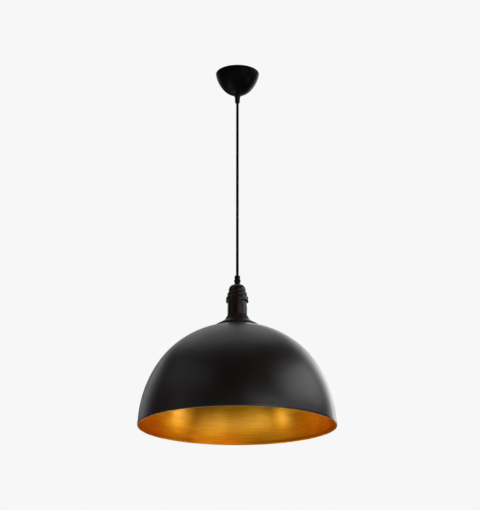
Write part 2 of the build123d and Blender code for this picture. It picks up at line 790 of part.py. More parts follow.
with BuildPart() as gold_lining:
    with BuildSketch(Plane.XZ):
        with BuildLine():
            draw_skin(lining_outset, lining_inset)
            Line(rim_point(shade_arcs, lining_outset), rim_point(shade_arcs, lining_inset))
        make_face()
    revolve(axis=Axis.Z)
save(gold_lining, "gold_lining")

washer_top_z = crown_height(shade_arcs, lining_inset, shade_seat_radius)
ring_top_z = washer_top_z - washer_thickness

with BuildPart() as shade_washer:
    with BuildSketch(Plane.XY.offset(washer_top_z)):
        Circle(washer_radius)
        Circle(skirt_radius + thread_gap, mode=Mode.SUBTRACT)
    extrude(amount=-washer_thickness)
save(shade_washer, "shade_washer")

with BuildPart() as shade_ring:
    with BuildSketch(Plane.XY.offset(ring_top_z)):
        Circle(ring_radius)
        Circle(skirt_radius + thread_gap, mode=Mode.SUBTRACT)
        with PolarLocations(ring_radius, ring_notch_count):
            Circle(ring_notch_radius, mode=Mode.SUBTRACT)
    extrude(amount=-ring_height)
    with BuildSketch(Plane.XY.offset(ring_top_z)):
        Circle(ring_brim_radius)
        Circle(skirt_radius + thread_gap, mode=Mode.SUBTRACT)
    extrude(amount=-ring_brim_height)
    brim_edges = shade_ring.edges().filter_by(GeomType.CIRCLE).filter_by(
        lambda e: abs(e.radius - ring_brim_radius) < thread_gap
    )
    fillet(brim_edges, ring_brim_height / 4)
save(shade_ring, "shade_ring")

# ==== Contacts =================================================================================
ceramic_radius = barrel_bore_radius - thread_gap
shell_outer_radius = shell_bore_radius + shell_sheet
ceramic_roof_z = shell_roof_z
pocket_floor_z = ceramic_roof_z + pin_guide_length

with BuildPart() as contact_block:
    with BuildSketch(Plane.XZ):
        Polygon(
            (0, ceramic_top_z),
            (ceramic_radius, ceramic_top_z),
            (ceramic_radius, ledge_z),
            (shell_outer_radius + slide_gap, ledge_z),
            (shell_outer_radius + slide_gap, ceramic_roof_z),
            (0, ceramic_roof_z),
            align=None,
        )
    revolve(axis=Axis.Z)
    rims = contact_block.edges().filter_by(GeomType.CIRCLE).filter_by(
        lambda e: abs(e.radius - ceramic_radius) < slide_gap
    )
    chamfer(rims, ceramic_corner)
    with Locations((0, 0, ceramic_top_z)):
        CounterBoreHole(
            pin_radius + slide_gap,
            pin_pocket_radius,
            ceramic_top_z - pocket_floor_z,
            depth=ceramic_head_height,
        )
    with BuildSketch(Plane((-terminal_offset, 0, ceramic_top_z))):
        Rectangle(terminal_sheet + 2 * slide_gap, terminal_strip_width + 2 * slide_gap)
    extrude(amount=-ceramic_head_height, mode=Mode.SUBTRACT)
save(contact_block, "contact_block")

with BuildPart() as screw_shell:
    shell_top_z = shell_roof_z - slide_gap
    shoulder_inset = shell_sheet * (sqrt(2) - 1)
    with BuildSketch(Plane.XZ):
        Polygon(
            (shell_roof_hole_radius, shell_top_z),
            (shell_outer_radius - shell_shoulder, shell_top_z),
            (shell_outer_radius, shell_top_z - shell_shoulder),
            (shell_outer_radius, ledge_z + slide_gap),
            (shell_bore_radius, ledge_z + slide_gap),
            (shell_bore_radius, shell_top_z - shell_shoulder - shoulder_inset),
            (shell_outer_radius - shell_shoulder - shoulder_inset, shell_top_z - shell_sheet),
            (shell_roof_hole_radius, shell_top_z - shell_sheet),
            align=None,
        )
    revolve(axis=Axis.Z)
save(screw_shell, "screw_shell")


def terminal_post(direction):
    """A clamp for one wire: wire hole from above, screw hole from the side."""
    with BuildSketch(Plane((direction * terminal_offset, 0, ceramic_top_z))) as foot:
        RectangleRounded(terminal_size, terminal_size, terminal_sheet)
    extrude(foot.sketch, amount=terminal_height)
    with BuildSketch(Plane((direction * terminal_offset, 0, ceramic_top_z + terminal_height))) as way:
        Circle(wire_radius + thread_gap)
    extrude(way.sketch, amount=-terminal_hole_depth, mode=Mode.SUBTRACT)
    with BuildSketch(Plane.YZ.offset(direction * terminal_offset)) as side:
        with Locations((0, terminal_screw_z)):
            Circle(clamp_screw_radius + slide_gap)
    extrude(side.sketch, amount=direction * terminal_size, mode=Mode.SUBTRACT)


terminal_screw_z = ceramic_top_z + (terminal_height - terminal_hole_depth) / 2

with BuildPart() as live_terminal:
    terminal_post(1)
    with BuildSketch(Plane(((terminal_offset - pin_pocket_radius) / 2, 0, ceramic_top_z))):
        Rectangle(terminal_offset + pin_pocket_radius, terminal_strip_width)
    extrude(amount=terminal_sheet)
save(live_terminal, "live_terminal")

with BuildPart() as neutral_terminal:
    terminal_post(-1)
    with BuildSketch(Plane((-terminal_offset, 0, ceramic_top_z))):
        Rectangle(terminal_sheet, terminal_strip_width)
    extrude(amount=-ceramic_head_height)
save(neutral_terminal, "neutral_terminal")

with BuildPart() as holder_terminal_screws:
    for direction in (-1, 1):
        head_x = direction * (terminal_offset + terminal_size / 2)
        with BuildSketch(Plane.YZ.offset(head_x)):
            with Locations((0, terminal_screw_z)):
                Circle(clamp_screw_radius)
        extrude(amount=-direction * (terminal_size / 2 - slide_gap))
        with BuildSketch(Plane.YZ.offset(head_x)):
            with Locations((0, terminal_screw_z)):
                Circle(clamp_well_radius)
        extrude(amount=direction * clamp_screw_radius)
        with BuildSketch(Plane.YZ.offset(head_x + direction * clamp_screw_radius)):
            with Locations((0, terminal_screw_z)):
                Rectangle(2 * clamp_well_radius, clamp_screw_radius / 2)
        extrude(amount=-direction * clamp_screw_radius / 2, mode=Mode.SUBTRACT)
save(holder_terminal_screws, "holder_terminal_screws")

pin_tip_z = ceramic_roof_z - pin_tip_drop
pin_collar_z = pocket_floor_z + slide_gap
pin_top_z = ceramic_top_z - pin_travel - 2 * loose_gap

with BuildPart() as centre_contact:
    with BuildSketch(Plane.XZ):
        Polygon(
            (0, pin_tip_z),
            (pin_radius, pin_tip_z),
            (pin_radius, pin_collar_z),
            (pin_collar_radius, pin_collar_z),
            (pin_collar_radius, pin_collar_z + pin_collar_height),
            (pin_stub_radius, pin_collar_z + pin_collar_height),
            (pin_stub_radius, pin_top_z),
            (0, pin_top_z),
            align=None,
        )
    revolve(axis=Axis.Z)
    fillet(centre_contact.faces().sort_by(Axis.Z)[0].edges(), pin_radius / 2)
save(centre_contact, "centre_contact")

spring_bottom_z = pin_collar_z + pin_collar_height + spring_wire_radius + slide_gap
spring_height = ceramic_top_z - spring_wire_radius - slide_gap - spring_bottom_z

with BuildPart() as contact_spring:
    with BuildLine():
        coil = Helix(
            pitch=spring_height / spring_turns,
            height=spring_height,
            radius=spring_mean_radius,
            center=(0, 0, spring_bottom_z),
        )
    with BuildSketch(Plane(coil @ 0, z_dir=coil % 0)):
        Circle(spring_wire_radius)
    sweep(path=coil)
save(contact_spring, "contact_spring")

for label, side in (("holder_live_wire", 1), ("holder_neutral_wire", -1)):
    with BuildPart() as holder_wire:
        wire(
            (side * wire_offset, 0, holder_tail_end_z),
            (side * wire_offset, 0, holder_tail_end_z - wire_rise),
            (side * terminal_offset, 0, ceramic_top_z + terminal_height + 2 * wire_rise),
            (side * terminal_offset, 0, ceramic_top_z + terminal_height - terminal_hole_depth),
        )
    save(holder_wire, label)
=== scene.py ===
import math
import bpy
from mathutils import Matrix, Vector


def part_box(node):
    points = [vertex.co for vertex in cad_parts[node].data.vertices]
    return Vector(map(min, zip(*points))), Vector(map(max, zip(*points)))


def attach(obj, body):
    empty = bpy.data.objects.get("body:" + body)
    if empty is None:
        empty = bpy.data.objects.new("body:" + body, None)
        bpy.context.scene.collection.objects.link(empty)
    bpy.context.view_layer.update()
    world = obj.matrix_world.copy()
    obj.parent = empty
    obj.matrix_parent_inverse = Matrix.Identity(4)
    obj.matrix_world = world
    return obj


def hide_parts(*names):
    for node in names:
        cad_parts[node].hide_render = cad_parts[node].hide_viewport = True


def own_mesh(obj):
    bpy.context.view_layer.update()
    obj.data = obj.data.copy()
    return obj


bl_info = {
    "name": "Dome Pendant Light",
    "version": (1, 0, 0),
    "blender": (4, 5, 0),
    "location": "View3D > Sidebar > Pendant",
    "description": "Smooth turned skins, finishes and a studio for a dome pendant light",
    "category": "Add Mesh",
}

import bmesh
import bpy
import numpy as np
from bpy.props import FloatProperty, IntProperty, PointerProperty, StringProperty
from bpy.types import Operator, PropertyGroup
from mathutils import Vector

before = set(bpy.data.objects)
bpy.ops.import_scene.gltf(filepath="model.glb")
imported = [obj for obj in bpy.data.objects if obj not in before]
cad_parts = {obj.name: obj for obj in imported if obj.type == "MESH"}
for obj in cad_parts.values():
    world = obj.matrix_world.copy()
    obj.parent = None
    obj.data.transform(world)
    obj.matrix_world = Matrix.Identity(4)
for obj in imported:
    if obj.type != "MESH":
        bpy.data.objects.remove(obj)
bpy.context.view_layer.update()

MM = 0.001
SAME = 1e-6  # metres within which two sizes count as one
THREAD_GAP = 0.1 * MM  # between a plain thread and its hole
THREAD_FADE = 1.2 * MM  # half the run-out of a thread
SEAT_GAP = 0.3 * MM  # under the flange's edge, and between the cup's lugs and the strap
FINE = 0.3 * MM  # rounding of a small moulded edge


def low(node):
    """Lowest corner of a CAD node."""
    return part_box(node)[0]


def high(node):
    """Highest corner of a CAD node."""
    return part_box(node)[1]


def extent(node):
    """Top, foot and radius of a CAD node round the Z axis."""
    return high(node).z, low(node).z, high(node).x


def length(name, description, millimetres):
    """A length that the sidebar shows with its unit."""
    return FloatProperty(
        name=name, description=description, default=millimetres * MM, unit="LENGTH", precision=4
    )


def slope(name, description, degrees):
    """An angle that the sidebar shows in degrees."""
    return FloatProperty(
        name=name, description=description, default=math.radians(degrees), unit="ROTATION"
    )


def hue(name, description, default):
    """A colour that the sidebar shows as sRGB hex."""
    return StringProperty(name=name, description=description, default=default)


# ==== Sizes and colours that a user would change ====


class PendantShadeSizes(PropertyGroup):
    """Sizes of the spun shade, its lining, its ring and the flange on its neck."""

    wall: length("Wall", "Sheet of the shade", 0.8)
    lining: length("Lining", "Thickness of the gold lining", 0.25)
    lining_gap: length("Lining gap", "Between the sheet and the lining", 0.05)
    lean: slope("Lean", "Outward lean of the side at the hem", 2.0)
    side_radius: length("Side radius", "Radius of the side's curve", 229.7)
    turn: slope("Turn", "Slope at which the side meets the shoulder", 34.0)
    shoulder_radius: length("Shoulder radius", "Radius of the shoulder's curve", 180.5)
    crown: slope("Crown", "Slope at which the shoulder meets the crown", 55.6)
    seat_radius: length("Seat radius", "Flat seat pressed round the hole", 27.0)
    hole_radius: length("Hole radius", "Hole for the lampholder", 19.4)
    hem_height: length("Hem height", "Hem round the rim", 7.0)
    hem_outside: length("Hem outside", "How far the hem stands out of the wall", 0.7)
    hem_inside: length("Hem inside", "How far the hem stands into the shade", 0.5)
    hem_rounding: length("Hem rounding", "Edges of the hem", 0.5)
    flange_hub: length("Flange hub", "Radius of the flange under the barrel", 20.5)
    flange_hub_height: length("Flange hub height", "Height of the hub", 2.3)
    flange_bead: length("Flange bead", "Radius of the flange's bead", 22.0)
    flange_bead_height: length("Flange bead height", "Height of the bead", 2.4)
    flange_step: length("Flange step", "Radius of the step below the bead", 23.8)
    flange_step_height: length("Flange step height", "Height of the step", 3.4)
    flange_rounding: length("Flange rounding", "Edges of bead, step and brim", 1.1)
    flange_edge: length("Flange edge", "Height of the flange's edge", 4.3)
    flange_sag: length("Flange sag", "Hollow of the flange's flare", 0.9)
    flange_wall: length("Flange wall", "Wall of the flange's flare", 2.4)
    ring_brim: length("Ring brim", "Height of the shade ring's brim", 1.6)
    ring_radius: length("Ring radius", "Grip part of the shade ring", 25.0)
    notch_radius: length("Notch radius", "Finger notches of the shade ring", 1.2)
    notches: IntProperty(
        name="Notches", description="Finger notches round the shade ring", default=16, min=3
    )


class PendantHolderSizes(PropertyGroup):
    """Sizes of the lampholder's cap, barrel, thread and cord grip."""

    cap_flat: length("Cap flat", "Radius of the flat round the cord grip", 6.0)
    top_ring: length("Top ring", "Radius of the domed top ring", 18.0)
    top_height: length("Top ring height", "Height of the domed top ring", 16.6)
    middle_ring: length("Middle ring", "Radius of the middle ring", 20.7)
    middle_height: length("Middle ring height", "Height of the middle ring", 9.0)
    groove_depth: length("Groove depth", "Grooves between the rings", 0.7)
    groove_height: length("Groove height", "Grooves between the rings", 1.6)
    ring_rounding: length("Ring rounding", "Upper edges of the rings", 1.6)
    cap_wall: length("Cap wall", "Moulded wall of the cap", 2.3)
    bore: length("Barrel bore", "Inside radius of the barrel", 17.0)
    barrel: length("Barrel radius", "Outside radius of the barrel", 20.2)
    edge: length("Barrel edge", "Chamfer at the barrel's foot", 0.4)
    barrel_height: length("Barrel height", "Fluted part below the cap", 28.4)
    skirt: length("Skirt radius", "Threaded skirt that goes through the shade", 18.9)
    thread_depth: length("Thread depth", "Depth of the skirt's thread", 0.5)
    thread_pitch: length("Thread pitch", "Pitch of the skirt's thread", 2.5)
    thread_length: length("Thread length", "Length of the skirt's thread", 14.0)
    lip: length("Mouth lip", "Inside radius of the barrel's lip", 14.9)
    lip_height: length("Lip height", "Height of the barrel's lip", 3.0)
    flutes: IntProperty(name="Flutes", description="Flutes round the barrel", default=8, min=1)
    flute_width: length("Flute width", "Width of a flute", 3.0)
    flute_depth: length("Flute depth", "Depth of a flute", 1.5)
    flute_top: length("Flute top margin", "Plain band above the flutes", 10.0)
    flute_bottom: length("Flute bottom margin", "Plain band below the flutes", 1.5)
    flute_start: slope("Flute start", "Direction of the first flute", 31.3)
    grip: length("Grip radius", "Cord grip on the cap", 5.8)
    grip_bead: length("Grip bead", "Radius of the grip's bead", 6.8)
    grip_bead_rise: length("Grip bead rise", "Underside of the bead above the cap", 5.8)
    grip_bead_height: length("Grip bead height", "Height of the bead", 4.2)
    shell_pitch: length("Lamp thread pitch", "Pitch of the socket's Edison thread", 3.62)
    shell_depth: length("Lamp thread depth", "Depth of the socket's Edison thread", 1.05)
    shell_sheet: length("Shell sheet", "Brass sheet of the socket", 0.45)
    shell_shoulder: length("Shell shoulder", "Slope round the shell's roof", 3.4)
    shell_hole: length("Shell hole", "Hole in the shell's roof", 6.5)


class PendantCupSizes(PropertyGroup):
    """Sizes of the ceiling cup and of both cord grips."""

    wall: length("Wall", "Moulded wall of the cup", 2.0)
    band: length("Band", "Upright band at the cup's rim", 2.3)
    edge: length("Edge", "Rounding of the rim", 1.6)
    lean: slope("Lean", "Lean of the side at the band", 9.8)
    side_radius: length("Side radius", "Radius of the side's curve", 69.8)
    turn: slope("Turn", "Slope at which the side meets the shoulder", 41.8)
    shoulder_radius: length("Shoulder radius", "Radius of the shoulder's curve", 39.9)
    crown: slope("Crown", "Slope at which the shoulder meets the crown", 66.3)
    boss: length("Boss", "Radius of the boss inside, round the grip", 10.0)
    lug_depth: length("Lug depth", "How far the lugs reach in from the wall", 5.0)
    lug_reach: length("Lug reach", "Half the width of a lug", 9.0)
    lug_thickness: length("Lug thickness", "Thickness of a lug", 1.8)
    stop_width: length("Stop width", "Stop beside each lug", 2.5)
    stop_drop: length("Stop drop", "Stop below the strap's underside", 1.2)
    seat: length("Block seat", "Side of the post under the terminal block", 9.0)
    collar: length("Collar", "Radius of the grip's collar", 7.7)
    collar_height: length("Collar height", "Height of the grip's collar", 3.6)
    root: length("Grip root", "Radius of the grip below its collar", 6.0)
    tip: length("Grip tip", "Radius of the grip at its tip", 5.0)
    rounding: length("Grip rounding", "Edges of both grips", 0.5)
    spigot: length("Spigot", "Threaded end of both grips", 5.0)
    bore: length("Cord bore", "Bore of both grips", 2.9)
    mouth: length("Mouth radius", "Bell mouth of both grips", 4.2)
    mouth_depth: length("Mouth depth", "Bell mouth of both grips, to where the cord bends", 3.0)
    mouth_throat: length("Mouth throat", "Flare inside the cord's bend", 0.4)
    grub: length("Grub screw", "Radius of the screw that clamps the cord", 1.35)


class PendantColours(PropertyGroup):
    """Colours, as sRGB hex."""

    powder_coat: hue("Powder coat", "Outside of the shade", "#150F0D")
    gold: hue("Gold", "Lit turns of the gold lacquer", "#F0B41F")
    gold_deep: hue("Deep gold", "Thicker turns of the gold lacquer", "#CC8611")
    moulded_black: hue("Moulded black", "Lampholder and neck flange", "#221814")
    nylon_black: hue("Black nylon", "Grips, nuts and ring", "#0C0B0B")
    sheath: hue("Sheath", "Cord and ceiling cup", "#0A0909")
    backdrop: hue("Backdrop", "Studio background", "#F7F7F7")
    floor: hue("Floor", "Studio floor", "#DAD9D7")


# ==== Surfaces ====


def linear(text):
    """An sRGB hex colour as the linear RGBA that Blender's sockets take."""
    value = np.array([int(text[i : i + 2], 16) for i in (1, 3, 5)]) / 255
    value = np.where(value <= 0.04045, value / 12.92, ((value + 0.055) / 1.055) ** 2.4)
    return (*value.tolist(), 1.0)


def arc(centre, radius, start, end, steps):
    """Points at centre + radius * (cos a, sin a), as a runs evenly from start to end."""
    angle = np.linspace(start, end, steps)
    return np.array(centre) + radius * np.stack([np.cos(angle), np.sin(angle)], 1)


def rounded(*corners, steps=6):
    """A line through corners (x, y, rounding), each cut by an arc tangent to both its sides.

    The arc starts rounding / tan(half the corner's angle) before the corner.
    """
    spots = np.array([corner[:2] for corner in corners], float)
    roundings = [corner[2] for corner in corners[1:-1]]
    line = [spots[:1]]
    for before, spot, after, rounding in zip(spots, spots[1:], spots[2:], roundings):
        if rounding == 0:
            line.append(spot[None])
            continue
        back, on = (way / np.linalg.norm(way) for way in (before - spot, after - spot))
        half = math.acos(np.clip(back @ on, -1, 1)) / 2
        reach = rounding / math.tan(half)
        centre = spot + (back + on) / np.linalg.norm(back + on) * rounding / math.sin(half)
        from_centre = spot + back * reach - centre
        side = back[1] * on[0] - back[0] * on[1]
        turned_by = np.linspace(0, 1, steps) * math.copysign(math.pi - 2 * half, side)
        cos, sin = np.cos(turned_by), np.sin(turned_by)
        line.append(centre + np.stack([
            from_centre[0] * cos - from_centre[1] * sin,
            from_centre[0] * sin + from_centre[1] * cos,
        ], 1))
    return np.concatenate([*line, spots[-1:]])


def bowl_line(s, rim_radius, rim_z, closes, inset, end_radius, steps=26):
    """A bowl's line from its rim to end_radius, moved in by inset.

    It is three arcs, each tangent to the next: side, shoulder and a crown centred on the axis. A
    point is centre + (radius - inset) * (cos a, closes * sin a). closes is 1 where the bowl
    closes upwards and -1 where it closes downwards.
    """

    def way(angle):
        return np.array([math.cos(angle), closes * math.sin(angle)])

    side = np.array([rim_radius, rim_z]) - s.side_radius * way(s.lean)
    shoulder = side + (s.side_radius - s.shoulder_radius) * way(s.turn)
    step = shoulder[0] / math.cos(s.crown)
    crown = shoulder - step * way(s.crown)
    crown_radius = s.shoulder_radius + step - inset
    end = math.acos(end_radius / crown_radius)
    lean, turn, slope_end, end = (closes * a for a in (s.lean, s.turn, s.crown, end))
    return np.concatenate([
        arc(side, s.side_radius - inset, lean, turn, steps)[:-1],
        arc(shoulder, s.shoulder_radius - inset, turn, slope_end, steps)[:-1],
        arc(crown, crown_radius, slope_end, end, steps),
    ])


def surface(name, points, around=(True, True), second=None):
    """A mesh from a grid of points (rows, columns, xyz); face (i, j) lies between rows i and i + 1.

    around says whether the last row and the last column join the first. Points that meet, as at
    a pole, become one. Faces are turned outwards by the sign of the enclosed volume, the sum of
    corner . (area vector) / 3. second marks the rows whose faces take the second material.
    """
    rows, columns = points.shape[:2]
    starts = [np.arange(n if joined else n - 1) for n, joined in zip((rows, columns), around)]
    i, j = (part.ravel() for part in np.meshgrid(*starts, indexing="ij"))
    row = np.stack([i, i + 1, i + 1, i], 1) % rows
    quads = row * columns + np.stack([j, j, j + 1, j + 1], 1) % columns
    spots = points.reshape(-1, 3)
    a, b, c, d = (spots[quads[:, k]] for k in range(4))
    if np.sum(a * np.cross(c - a, d - b)) < 0:
        quads = quads[:, ::-1]
    mesh = bpy.data.meshes.new(name)
    mesh.vertices.add(len(spots))
    mesh.vertices.foreach_set("co", spots.astype(np.float32).ravel())
    mesh.loops.add(quads.size)
    mesh.loops.foreach_set("vertex_index", quads.astype(np.int32).ravel())
    mesh.polygons.add(len(quads))
    mesh.polygons.foreach_set("loop_start", np.arange(0, quads.size, 4, dtype=np.int32))
    if second is not None:
        mesh.polygons.foreach_set("material_index", np.asarray(second)[i].astype(np.int32))
    mesh.update(calc_edges=True)
    return placed(name, mesh)


def linked(name, data):
    """A new object for data, in the scene."""
    thing = bpy.data.objects.new(name, data)
    bpy.context.scene.collection.objects.link(thing)
    return thing


def placed(name, mesh, crease=32):
    """An object at the origin for a mesh, its doubles joined, smooth up to a crease in degrees."""
    work = bmesh.new()
    work.from_mesh(mesh)
    bmesh.ops.remove_doubles(work, verts=work.verts, dist=MM / 1000)
    work.to_mesh(mesh)
    work.free()
    mesh.shade_smooth()
    mesh.set_sharp_from_angle(angle=math.radians(crease))
    return linked(name, mesh)


def turned(name, line, angles=192, shape=None, second=None, closed=True):
    """A line (radius, height) turned round the Z axis. A point is (r cos a, r sin a, z).

    angles is their number, or the angles themselves. shape(r, z, a) may bend the radius. closed
    says whether the line's end joins its start.
    """
    if isinstance(angles, int):
        angles = np.linspace(0, math.tau, angles, endpoint=False)
    r, z, a = np.broadcast_arrays(line[:, :1], line[:, 1:], angles[None])
    if shape is not None:
        r = shape(r, z, a)
    points = np.stack([r * np.cos(a), r * np.sin(a), z], 2)
    return surface(name, points, around=(closed, True), second=second)


def column(name, outline, foot, top):
    """An upright column over an outline (x, y), drawn in to its middle at both ends.

    foot is one height, or a height for each point of the outline.
    """
    foot = np.broadcast_to(foot, len(outline))
    middle = np.repeat(outline.mean(0)[None], len(outline), 0)
    rows = [(middle, foot.mean()), (outline, foot), (outline, top), (middle, top)]
    points = [np.column_stack([spots, np.broadcast_to(z, len(spots))]) for spots, z in rows]
    return surface(name, np.array(points), around=(False, True))


def smooth_step(edge, width, value):
    """0 below edge - width, 1 above edge + width, and 3 t^2 - 2 t^3 between."""
    t = np.clip((value - edge + width) / (2 * width), 0, 1)
    return t * t * (3 - 2 * t)


def upright(radius, heights):
    """Points (radius, height) of a straight side."""
    return np.column_stack([np.full(len(heights), radius), heights])


FINISHES = {}


def dress(piece, body, slot, *finishes, stands_for=()):
    """Let a new piece ride on its body, in place of its CAD nodes; a slot has its own finish."""
    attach(piece, body)
    if stands_for:
        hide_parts(*stands_for)
    for key in finishes or [slot]:
        piece.data.materials.append(FINISHES[key])


def skin(node, line, body, slot, *finishes, **form):
    """Turn a node's skin and dress it in the node's place."""
    dress(turned(f"{node}_skin", line, **form), body, slot, *finishes, stands_for=[node])


# ==== Finishes ====

NOISE = {"From Min": 0.3, "From Max": 0.7}  # nearly all of a noise texture's values lie between


def feed(tree, node, inputs):
    """Give each named input its value, or the socket or the node's first output that feeds it."""
    for key, value in inputs.items():
        if isinstance(value, bpy.types.Node):
            value = value.outputs[0]
        if isinstance(value, bpy.types.NodeSocket):
            tree.links.new(value, node.inputs[key])
        else:
            node.inputs[key].default_value = value


def add(tree, kind, inputs=None, **settings):
    """Add a node with its settings and its inputs."""
    node = tree.nodes.new(f"ShaderNode{kind}")
    for key, value in settings.items():
        setattr(node, key, value)
    feed(tree, node, inputs or {})
    return node


def blank(name):
    """A new material, its nodes, its shader and the object's own coordinates, in metres."""
    material = bpy.data.materials.new(name)
    material.use_nodes = True
    tree = material.node_tree
    return material, tree, tree.nodes["Principled BSDF"], add(tree, "TexCoord").outputs["Object"]


def finish(name, colour, roughness, metallic=0.0, grain=(1.0, 0.02), patch=(30.0, 0.06), tint=0.12,
           specular=0.5, subsurface=0.0):
    """A finish with a fine grain and soft patches, whose sizes are in millimetres.

    grain is its size and how far it lifts the surface; it also varies the colour by tint. patch
    is its size and how far it varies the roughness.
    """
    material, tree, shader, place = blank(name)
    patches, grains = (
        add(tree, "TexNoise", {"Vector": place, "Scale": 1 / (size * MM), "Detail": detail})
        for size, detail in ((patch[0], 3.0), (grain[0], 2.0))
    )
    rough = add(tree, "MapRange", {
        "Value": patches, **NOISE,
        "To Min": max(roughness - patch[1], 0.02), "To Max": roughness + patch[1],
    })
    tone = add(tree, "MapRange", {"Value": grains, **NOISE, "To Min": 1 - tint, "To Max": 1 + tint})
    tinted = add(tree, "VectorMath", {0: linear(colour)[:3], "Scale": tone}, operation="SCALE")
    feed(tree, shader, {
        "Base Color": tinted,
        "Roughness": rough,
        "Normal": add(tree, "Bump", {"Height": grains, "Distance": grain[1] * MM, "Strength": 1.0}),
        "Metallic": metallic,
        "Specular IOR Level": specular,
        "Subsurface Weight": subsurface,
    })
    return material


def gold_finish(name, light, deep, streak_mm=(50, 50, 1.6), line_mm=0.08, cloud_mm=70, wave_mm=1.0,
                cloud_share=0.3, roughness=(0.28, 0.36), coat=0.35, coat_roughness=0.22):
    """Gold lacquer over spun steel: turned streaks run round the axis, over broad cloudy patches.

    The streaks are noise of the size streak_mm, read at (x, y, z - distance from the axis), so
    they are long round the shade and low. The clouds, cloud_mm wide, add cloud_share to them and
    set the roughness. Streaks lift the surface by line_mm and clouds by wave_mm.
    """
    material, tree, shader, place = blank(name)
    parts = add(tree, "SeparateXYZ", {"Vector": place})
    level = add(tree, "VectorMath", {0: place, 1: (1.0, 1.0, 0.0)}, operation="MULTIPLY")
    radius = add(tree, "VectorMath", {0: level}, operation="LENGTH").outputs["Value"]
    along = add(tree, "Math", {0: parts.outputs["Z"], 1: radius}, operation="SUBTRACT")
    spun = add(tree, "CombineXYZ", {"X": parts.outputs["X"], "Y": parts.outputs["Y"], "Z": along})
    stretch = add(tree, "Mapping", {
        "Vector": spun, "Location": (0.5, 0.5, 0.0), "Scale": [1 / (mm * MM) for mm in streak_mm],
    })
    streaks = add(tree, "TexNoise", {
        "Vector": stretch, "Scale": 1.0, "Detail": 4.0, "Roughness": 0.6,
    })
    clouds = add(tree, "TexNoise", {"Vector": place, "Scale": 1 / (cloud_mm * MM), "Detail": 0.0})
    mixed = add(tree, "Math", {0: clouds, 1: cloud_share, 2: streaks}, operation="MULTIPLY_ADD")
    turn = add(tree, "MapRange", {"Value": mixed, "From Min": 0.4, "From Max": 0.9})
    ends = {"A": linear(deep), "B": linear(light)}
    colour = add(tree, "Mix", {"Factor": turn, **ends}, data_type="RGBA")
    waves = add(tree, "Bump", {"Height": clouds, "Distance": wave_mm * MM, "Strength": 1.0})
    feed(tree, shader, {
        "Base Color": next(socket for socket in colour.outputs if socket.type == "RGBA"),
        "Roughness": add(tree, "MapRange", {
            "Value": clouds, **NOISE, "To Min": roughness[0], "To Max": roughness[1],
        }),
        "Normal": add(tree, "Bump", {
            "Height": streaks, "Distance": line_mm * MM, "Strength": 1.0, "Normal": waves,
        }),
        "Metallic": 1.0,
        "Coat Weight": coat,
        "Coat Roughness": coat_roughness,
    })
    return material


class PENDANT_OT_finishes(Operator):
    """Make the finishes"""

    bl_idname = "pendant.finishes"
    bl_label = "Finishes"

    def execute(self, context):
        hues = context.scene.pendant_colours
        FINISHES.update(
            # Polyester powder coat, baked on spun steel: deep satin black, a faint orange peel.
            black_painted_steel=finish("powder_coated_steel", hues.powder_coat, 0.36,
                                       grain=(2.2, 0.012), patch=(70, 0.03)),
            # Baked enamel on the neck flange: dull, so that its edge stays dark against the light.
            enamel=finish("baked_enamel", hues.moulded_black, 0.5, grain=(3.0, 0.01),
                          specular=0.15),
            # Gold lacquer sprayed on spun steel: warm, cloudy, streaked round by the spinning.
            gold_leaf_lacquer=gold_finish("gold_lacquered_spun_steel", hues.gold, hues.gold_deep),
            # Moulded ABS with a fine spark-eroded texture: a dull, deep black.
            black_satin_plastic=finish("moulded_abs", hues.sheath, 0.4, grain=(0.9, 0.01),
                                       specular=0.03),
            # Compression-moulded phenolic, polished mould: semi-gloss black, softly wavy.
            black_gloss_plastic=finish("moulded_phenolic", hues.moulded_black, 0.2,
                                       grain=(3.0, 0.01), specular=0.3),
            # Moulded black nylon: dull, slightly mottled.
            black_nylon=finish("moulded_black_nylon", hues.nylon_black, 0.42, grain=(1.2, 0.02),
                               specular=0.12),
            # Extruded PVC: the cord's dull sheath, and the insulation of its wires.
            cord_sheath=finish("extruded_pvc_sheath", hues.sheath, 0.55, grain=(1.6, 0.01),
                               specular=0.04),
            brown_insulation=finish("brown_pvc_insulation", "#5A3119", 0.4, grain=(0.8, 0.02)),
            blue_insulation=finish("blue_pvc_insulation", "#1D5FA8", 0.4, grain=(0.8, 0.02)),
            # Natural nylon, slightly see-through and creamy.
            white_nylon=finish("natural_nylon", "#DAD7CB", 0.38, grain=(0.8, 0.02), subsurface=0.2),
            # Glazed steatite: off-white, glossy, with small pits.
            white_ceramic=finish("glazed_steatite", "#E6E0D2", 0.2, grain=(1.4, 0.03)),
            # Pressed brass sheet, as rolled.
            brass=finish("pressed_brass", "#C9A257", 0.3, 1.0, grain=(0.6, 0.004), patch=(9, 0.06)),
            # Zinc-plated, blue-passivated steel: cloudy bright grey.
            zinc_steel=finish("zinc_plated_steel", "#AEB3B8", 0.34, 1.0, grain=(1.1, 0.006),
                              patch=(12, 0.1)),
            # Drawn spring steel, lightly oiled.
            spring_steel=finish("drawn_spring_steel", "#8D8F92", 0.26, 1.0, grain=(0.4, 0.003)),
            # Vulcanised fibre: dense red-brown board.
            fibre_washer=finish("vulcanised_fibre", "#6E2F22", 0.62, grain=(0.7, 0.03), tint=0.2),
        )
        return {"FINISHED"}


# ==== Pieces ====


